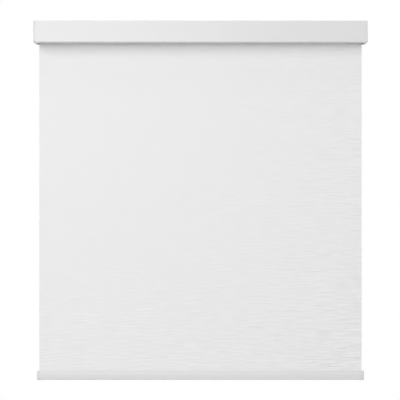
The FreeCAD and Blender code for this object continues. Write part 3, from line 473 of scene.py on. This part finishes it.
def spring_wire():
    material, finish, place = new_finish("spring_wire")
    oil = finish.drift(place, 3 * MM, low=0, high=1, detail=3.0)
    colour = finish.mix(oil, (0.30, 0.29, 0.28), (0.46, 0.46, 0.46))
    lines = finish.grain(place, (0.1 * MM, 2 * MM, 2 * MM)) * MARK_DEPTH
    roughness = oil.between(0.25, 0.40)
    return finished(material, finish, lines, Base_Color=colour, Metallic=1.0, Roughness=roughness)


print(f"marks {MARK_DEPTH / MM:.3f} mm deep on the bare metal, {ROLLED_HEIGHT / MM:.3f} mm under the paint")

# %% [markdown]
# ## Plain extruded aluminium
#
# The roller tube isn't painted. The die leaves lines along its whole length, as fine as hair, and they
# stretch its reflections across. The shader has a setting that stretches reflections by itself, but it
# leaves no lines to see from near by. So the lines are bumps, from noise that is very long along X and very
# short around the tube.

# %% Aluminium
DIE_LINE_DEPTH = 0.0015 * MM


def mill_aluminium():
    material, finish, place = new_finish("mill_aluminium")
    tone = finish.drift(place, (80 * MM, 6 * MM, 6 * MM), low=0, high=1)
    colour = finish.mix(tone, (0.74, 0.75, 0.76), (0.80, 0.81, 0.81))
    die_lines = finish.grain(place, (300 * MM, 0.25 * MM, 0.25 * MM)) * DIE_LINE_DEPTH
    roughness = tone.between(0.3, 0.4)
    return finished(material, finish, die_lines, Base_Color=colour, Metallic=1.0, Roughness=roughness)


print(f"die lines {DIE_LINE_DEPTH / MM:.4f} mm deep")

# %% [markdown]
# ## Nylon and acetal
#
# The plugs and the guide in the tube are grey nylon with glass fibre, which shows as a dull mottle. The
# ratchet, its pawls and the spring's anchor are black nylon. The bush, the cloth's strip and the spline are
# natural acetal: creamy, smooth and a little waxy. The three differ in colour, mottle and gloss only, so
# one function makes them all.

# %% Engineering plastics
MOULD_GRAIN_SIZE = 0.3 * MM
MOULD_GRAIN_HEIGHT = 0.003 * MM
MOTTLE_DULLNESS = 0.08          # how much rougher the light mottles are


def moulded_part(name, dark, light, mottle_size, roughness):
    material, finish, place = new_finish(name)
    mottle = finish.drift(place, mottle_size, low=0, high=1, detail=4.0)
    grain = finish.grain(place, MOULD_GRAIN_SIZE) * MOULD_GRAIN_HEIGHT
    return finished(material, finish, grain, Base_Color=finish.mix(mottle, dark, light),
                    Roughness=mottle.between(roughness, roughness + MOTTLE_DULLNESS))


def grey_nylon():
    return moulded_part("grey_nylon", (0.34, 0.35, 0.36), (0.45, 0.46, 0.47), 1.2 * MM, roughness=0.5)


def black_nylon():
    return moulded_part("black_nylon", (0.035, 0.035, 0.036), (0.06, 0.06, 0.06), 1.5 * MM, roughness=0.42)


def natural_acetal():
    return moulded_part("natural_acetal", (0.84, 0.83, 0.78), (0.89, 0.88, 0.84), 8 * MM, roughness=0.34)


print(f"mould grain {MOULD_GRAIN_SIZE / MM:.1f} mm across and {MOULD_GRAIN_HEIGHT / MM:.3f} mm high")

# %% [markdown]
# ## Give each rigid piece its finish
#
# The record names a material slot for every node, so the finishes are handed out by slot, and the rail then
# gets its duller coat. Only the node's material slots change: its mesh stays as it was packed.

# %% Hand out the finishes
RIGID = {
    "white_powder_coat": cassette_coat,
    "white_plastic": moulded_plastic,
    "plated_steel": zinc_plate,
    "bracket_steel": painted_steel,
    "spring_wire": spring_wire,
    "mill_aluminium": mill_aluminium,
    "grey_nylon": grey_nylon,
    "black_nylon": black_nylon,
    "natural_acetal": natural_acetal,
}
made = {slot: make() for slot, make in RIGID.items()}
for part in frame["record"]["subparts"]:
    if part["material_slot"] in made:
        for slot in frame["nodes"][part["node"]].material_slots:
            slot.material = made[part["material_slot"]]
duller = rail_coat()
for slot in frame["nodes"]["bottom_rail"].material_slots:
    slot.material = duller

# %% [markdown]
# ## The cloth's relief
#
# Up close the cloth isn't smooth. It has a fine crinkle, as crepe has: low ridges that run across the
# cloth, two or three fingers long and about a centimetre apart, which wander, split and fade. A bump map
# could fake it, but ridges that are really there also show at the cloth's edge and in the mesh itself.
# Noise that is stretched across the cloth gives the ridges. A slower noise moves them up and down, so that
# they wander. In the photograph the crinkle is faint at the top left and grows towards the bottom right.
# Here it is less than a tenth of a millimetre high at first, and up to 2.7 millimetres in the corner.

# %% Height of the crinkle
RIDGE_LENGTH = 50 * MM
RIDGE_SPACING = 4.4 * MM        # from a ridge to the hollow below it
RIDGE_HEIGHT = 2.2 * MM
FINER = 1.8                     # how much finer the second set of ridges is
FINER_SHARE = 0.2               # and how high, beside the first
WANDER = 9 * MM                 # how far the ridges move up and down
WANDER_LENGTH = 140 * MM
WANDER_HASTE = 1.6              # how much faster they wander down the cloth than across it
CALM_SHARE = 0.05               # of the crinkle's height, at the top left
RIGHT_SHARE = 0.62              # what is added by the right edge,
FOOT_SHARE = 0.62               # by the foot
CORNER_SHARE = 0.8              # and once more where the two meet
LATENESS = 4                    # the power that keeps what is added near its edge
WANDER_LAYER, RIDGE_LAYER, FINER_LAYER = 0.0, 5.0, 9.0      # places in the noise, too far apart to match


def crinkle(across, along):
    """Height of the cloth's face at a place on it, in metres."""
    moved = noise.noise((across / WANDER_LENGTH, along / WANDER_LENGTH * WANDER_HASTE, WANDER_LAYER))
    row = (along + WANDER * moved) / RIDGE_SPACING
    ridges = noise.noise((across / RIDGE_LENGTH, row, RIDGE_LAYER))
    finer = noise.noise((across / RIDGE_LENGTH * FINER, row * FINER, FINER_LAYER))
    right = max(0.0, (across - panel_low.x) / panel_size.x)
    down = max(0.0, along / panel_size.z)
    share = CALM_SHARE + RIGHT_SHARE * right ** LATENESS + FOOT_SHARE * down ** LATENESS
    share += CORNER_SHARE * (right * down) ** LATENESS
    return RIDGE_HEIGHT * share * (ridges + FINER_SHARE * finer)


def eased(x):
    """0 up to 0, 1 from 1, smooth between."""
    x = min(1.0, max(0.0, x))
    return x * x * (3 - 2 * x)


right_edge = [crinkle(panel_high.x, step * MM) for step in range(round(panel_size.z / MM))]
print(f"crinkle at the right edge from {min(right_edge) / MM:.2f} to {max(right_edge) / MM:.2f} mm")

# %% [markdown]
# ## Weaving a mesh
#
# The cloth is one long strip, 0.4 mm thick. Most of it hangs, and its upper end is wound on the tube. Both
# parts come from one function. It takes the line that the cloth follows, seen from its edge, and lays a row
# of points across the cloth at each station of that line, first for the front face and then for the back.
# So the pattern of ridges runs on unbroken from the roll to the hanging part. Each point also keeps its
# place on the flat cloth as a UV, which the weave is drawn with, and the height of its ridge, with which
# shade is painted into the hollows.

# %% Build a length of cloth
CUT_ANGLE = math.radians(40)    # a sharper edge than this is shaded as an edge


def evenly(first, last, step):
    """Places from first to last, as near to step apart as fits."""
    count = max(1, round(abs(last - first) / step))
    return [first + (last - first) * i / count for i in range(count + 1)]


def strip_faces(wide, tall):
    """Faces of a strip, whose front grid of wide by tall points comes before the same grid at the back."""
    back = wide * tall
    corners = [row * wide + column for row in range(tall - 1) for column in range(wide - 1)]
    rings = [(first, first + 1, first + wide + 1, first + wide) for first in corners]
    faces = [tuple(reversed(ring)) for ring in rings]
    faces += [tuple(corner + back for corner in ring) for ring in rings]
    rim = list(range(wide)) + [row * wide + wide - 1 for row in range(1, tall)]
    rim += list(range(back - 2, back - wide - 1, -1)) + [row * wide for row in range(tall - 2, 0, -1)]
    return faces + [(a, b, b + back, a + back) for a, b in zip(rim, rim[1:] + rim[:1])]


def new_piece(name, points, faces, material):
    """An object with this mesh, shaded smooth but for its cut edges."""
    mesh = bpy.data.meshes.new(name)
    mesh.from_pydata(points, [], faces)
    mesh.polygons.foreach_set("use_smooth", [True] * len(mesh.polygons))
    mesh.set_sharp_from_angle(angle=CUT_ANGLE)
    mesh.materials.append(material)
    piece = bpy.data.objects.new(name, mesh)
    bpy.context.scene.collection.objects.link(piece)
    return piece


def cloth_piece(name, columns, line):
    """A strip of cloth. Each station of line is (along, point, normal, share of the relief)."""
    points, flat, heights = [], [], []
    for side in (0.5, -0.5):
        for along, point, normal, share in line:
            for across in columns:
                height = share * crinkle(across, along)
                points.append((across, *(point + normal * (height + side * cloth_thick))))
                flat.append((across, along))
                heights.append(height / RIDGE_HEIGHT)
    piece = new_piece(name, points, strip_faces(len(columns), len(line)), cloth_finish)
    mesh = piece.data
    place = mesh.uv_layers.new(name="flat_cloth")
    place.data.foreach_set("uv", [value for loop in mesh.loops for value in flat[loop.vertex_index]])
    relief = mesh.attributes.new("relief", "FLOAT", "POINT")
    relief.data.foreach_set("value", heights)
    return piece


print("cloth is built from a line and its columns")

# %% [markdown]
# ## White cloth
#
# The cloth is a plain weave of fine yarn, coated so that it stays flat and lets no light through. The yarns
# are about half a millimetre apart: too fine to see from across a room, but they make the face matt and
# soft. A picture of cloth could be laid over it, but the weave is two waves that cross, and a product of
# sines draws that at any distance. Yarns across the cloth are uneven, with thicker stretches. Shade is
# painted into the crinkle's hollows: they are a little darker than the ridges.

# %% Cloth finish
CLOTH_WHITE = (0.86, 0.86, 0.86)
YARN = 0.55 * MM
YARN_HEIGHT = 0.02 * MM
SLUB_LENGTH = 9 * MM            # of a yarn's thicker stretches
SLUB_WIDTH = 0.7 * MM
# the hollows are painted darker, as shade: this darker copy of the cloth's white, and how much of it
PAINTED_HOLLOW_SHADE = 0.93
FLAT_SHARE = 0.25               # of the hollows' shade where the cloth is flat
RIDGE_SHARE = 1.6               # and what a ridge of full height takes from it


def woven_cloth():
    material, finish, _ = new_finish("woven_cloth")
    flat = finish.node("ShaderNodeUVMap", {"uv_map": "flat_cloth"})
    relief = finish.node("ShaderNodeAttribute", {"attribute_name": "relief"}, out="Fac")
    yarns = finish.stretched(flat, (YARN / math.tau, YARN / math.tau, 1))
    across = finish.node("ShaderNodeSeparateXYZ", {}, {0: yarns}, out="X")
    along = finish.node("ShaderNodeSeparateXYZ", {}, {0: yarns}, out="Y")
    weave = across.through("SINE") * along.through("SINE")
    slubs = finish.grain(flat, (SLUB_LENGTH, SLUB_WIDTH, 1.0))
    patches = (200 * MM, 90 * MM, 1.0)
    light = finish.clouds(flat, patches, shade_of(CLOTH_WHITE, 0.994), shade_of(CLOTH_WHITE, 1.004))
    # painted shade: the crinkle's hollows get a darker copy of the cloth's white, the ridges the plain one
    shaded = finish.mix(FLAT_SHARE - relief * RIDGE_SHARE, light, shade_of(CLOTH_WHITE, PAINTED_HOLLOW_SHADE))
    colour = finish.mix(slubs.between(0.5, 1.0), shaded, light)
    height = weave * (YARN_HEIGHT / 2) + slubs * YARN_HEIGHT
    roughness = weave.between(0.84, 0.87)
    return finished(material, finish, height, Base_Color=colour, Roughness=roughness,
                    Specular_IOR_Level=0.3, Sheen_Weight=0.08, Sheen_Roughness=0.5)


cloth_finish = woven_cloth()
print(f"yarns {YARN / MM} mm apart")

# %% [markdown]
# ## The hanging cloth
#
# The cloth leaves the roll at the back, straight down from the roll's rear side, and ends in the spline in
# the bottom rail. A cloth simulation could hang it, but the real cloth is stiffened, and the rail's weight
# keeps it straight, so a straight line does. The relief is weaker where the cloth is wound tight on the
# roll, and fades out in the rail's slot. When the rail goes up the cloth winds on to the roll, which a
# fixed mesh can't do, and this one stays as it hangs. The last few millimetres, which the spline grips,
# stay flat in the rail and go up with it, so they are a piece of their own. It is narrower, because the
# rail's end caps stand in its way, and it starts just above them.

# %% Hang the cloth
COLUMN_STEP = 10.4 * MM
ROW_STEP = 2.0 * MM
PRESSED_SHARE = 0.25            # what is left of the relief where the cloth is wound tight
EASE = 30 * MM                  # the relief grows to its full height over this length
SLOT_EASE = 8 * MM              # and fades out above the rail's slot
CAP_GAP = 0.2 * MM

spline_low, spline_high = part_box("rail_spline")
rail_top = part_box("bottom_rail")[1].z
foot_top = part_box("rail_cap_left")[1].z + CAP_GAP
hanging = axis.z - panel_low.z  # and on into the rail's spline


def hanging_line(heights):
    """The stations of the cloth at these heights, pressed at the roll and flat in the rail's slot."""
    line = []
    for z in heights:
        relief = PRESSED_SHARE + (1 - PRESSED_SHARE) * eased((axis.z - z) / EASE)
        relief *= eased((z - rail_top) / SLOT_EASE)
        line.append((axis.z - z, Vector((cloth_middle, z)), Vector((-1, 0)), relief))
    return line


def hang_cloth():
    inner_columns = evenly(spline_low.x, spline_high.x, COLUMN_STEP)
    columns = [panel_low.x] + inner_columns + [panel_high.x]
    cloth = cloth_piece("hanging_cloth", columns, hanging_line(evenly(axis.z, foot_top, ROW_STEP)))
    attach(cloth, "cassette")
    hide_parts("fabric_panel")
    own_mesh(cloth)

    foot = cloth_piece("cloth_foot", inner_columns, hanging_line(evenly(foot_top, panel_low.z, ROW_STEP)))
    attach(foot, "bottom_rail")
    return cloth


print(len(hang_cloth().data.polygons), f"faces in the hanging cloth, {hanging:.4f} m long")

# %% [markdown]
# ## The cloth on the roller
#
# Three turns stay on the tube when the shade is down, so that the strip which holds the cloth's end never
# takes its weight. They follow a spiral: each turn lies one thickness and a hair of air inside the last.
# Then the cloth bends in through the tube's slot, to the strip that grips it. A plain cylinder would be
# quicker, but its ends would show no turns, and the cloth would begin out of nothing. The roll rides on the
# roller, so it turns with the tube.

# %% Wind the roll
TURNS = 3
WIND_GAP = 0.1 * MM
STEPS_PER_TURN = 48
TAIL_BEND = 0.9 * MM            # radius of the bend into the tube's slot
TAIL_STEPS = 6
SLIT_FLOOR = 0.45 * MM          # from the strip's inner face to the cloth's end


def outward(angle):
    """The way out from the axis at an angle from +Y towards +Z, as (y, z)."""
    return Vector((math.cos(angle), math.sin(angle)))


def roll_line():
    """Points of the wound cloth with the way out at each, from the roll's rear side to the cloth's end."""
    centre = Vector((axis.y, axis.z))
    radius = cloth_middle - axis.y
    end_radius = radius - TURNS * (cloth_thick + WIND_GAP)
    end_angle = math.tau * TURNS - math.asin(TAIL_BEND / end_radius)
    line = []
    for angle in evenly(0.0, end_angle, math.tau / STEPS_PER_TURN):
        out = outward(angle)
        line.append((centre + out * (radius + (end_radius - radius) * angle / end_angle), out))
    bend_centre = line[-1][0] - outward(0.0) * TAIL_BEND
    for angle in evenly(0.0, math.tau / 4, math.tau / 4 / TAIL_STEPS)[1:]:
        line.append((bend_centre + outward(angle) * TAIL_BEND, outward(angle)))
    tail_foot = Vector((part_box("fabric_strip")[0].y + SLIT_FLOOR, bend_centre.y + TAIL_BEND))
    return line + [(tail_foot, outward(math.tau / 4))]


def wind_roll():
    line, along, last = [], 0.0, None
    for point, out in roll_line():
        along -= (point - last).length if last else 0.0
        last = point
        line.append((along, point, -out, PRESSED_SHARE))
    roll = cloth_piece("cloth_roll", evenly(panel_low.x, panel_high.x, 2 * COLUMN_STEP), line)
    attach(roll, "roller")
    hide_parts("fabric_roll")
    -along
    return -along


wound = wind_roll()
print(f"{wound:.3f} m on the roll, {wound + hanging:.3f} m of cloth in all")

# %% [markdown]
# ## The spring behind the idle pin
#
# The pin at the right end of the roller can be pushed in when the shade is hung, against a small coil
# spring between its collar and a seat in the plug. The imported coil is rigid, so the collar would run
# through it. It is wound again here, ring by ring along a helix.

# %% Wind the pin's spring
PIN_WIRE_RADIUS = 0.45 * MM
PIN_COILS = 8
STEPS_PER_COIL = 24
WIRE_SIDES = 10


def wire_rings(low, high):
    """Points of the wire, ring after ring along a helix that fills the box from low to high."""
    coil_radius = (high.y - low.y) / 2 - PIN_WIRE_RADIUS
    first, last = low.x + PIN_WIRE_RADIUS, high.x - PIN_WIRE_RADIUS
    steps = PIN_COILS * STEPS_PER_COIL
    points = []
    for step in range(steps + 1):
        turn = math.tau * step / STEPS_PER_COIL
        out = Vector((0, math.sin(turn), math.cos(turn)))
        centre = Vector((first + (last - first) * step / steps, axis.y, axis.z)) + out * coil_radius
        for side in range(WIRE_SIDES):
            angle = math.tau * side / WIRE_SIDES
            across = out * math.cos(angle) + Vector((math.sin(angle), 0, 0))
            points.append(centre + across * PIN_WIRE_RADIUS)
    return points


def wire_faces(steps):
    """Faces between the rings of a wire, and one at each of its ends."""
    faces = []
    for ring in range(0, steps * WIRE_SIDES, WIRE_SIDES):
        for side in range(WIRE_SIDES):
            a, b = ring + side, ring + (side + 1) % WIRE_SIDES
            faces.append((a, b, b + WIRE_SIDES, a + WIRE_SIDES))
    end_ring = steps * WIRE_SIDES
    return faces + [tuple(reversed(range(WIRE_SIDES))), tuple(range(end_ring, end_ring + WIRE_SIDES))]


def wind_pin_spring():
    low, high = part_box("idle_pin_spring")
    faces = wire_faces(PIN_COILS * STEPS_PER_COIL)
    spring = new_piece("pin_coil", wire_rings(low, high), faces, made["spring_wire"])
    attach(spring, "roller")
    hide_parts("idle_pin_spring")
    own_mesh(spring)
    return spring


print(len(wind_pin_spring().data.polygons), "faces in the pin's spring")
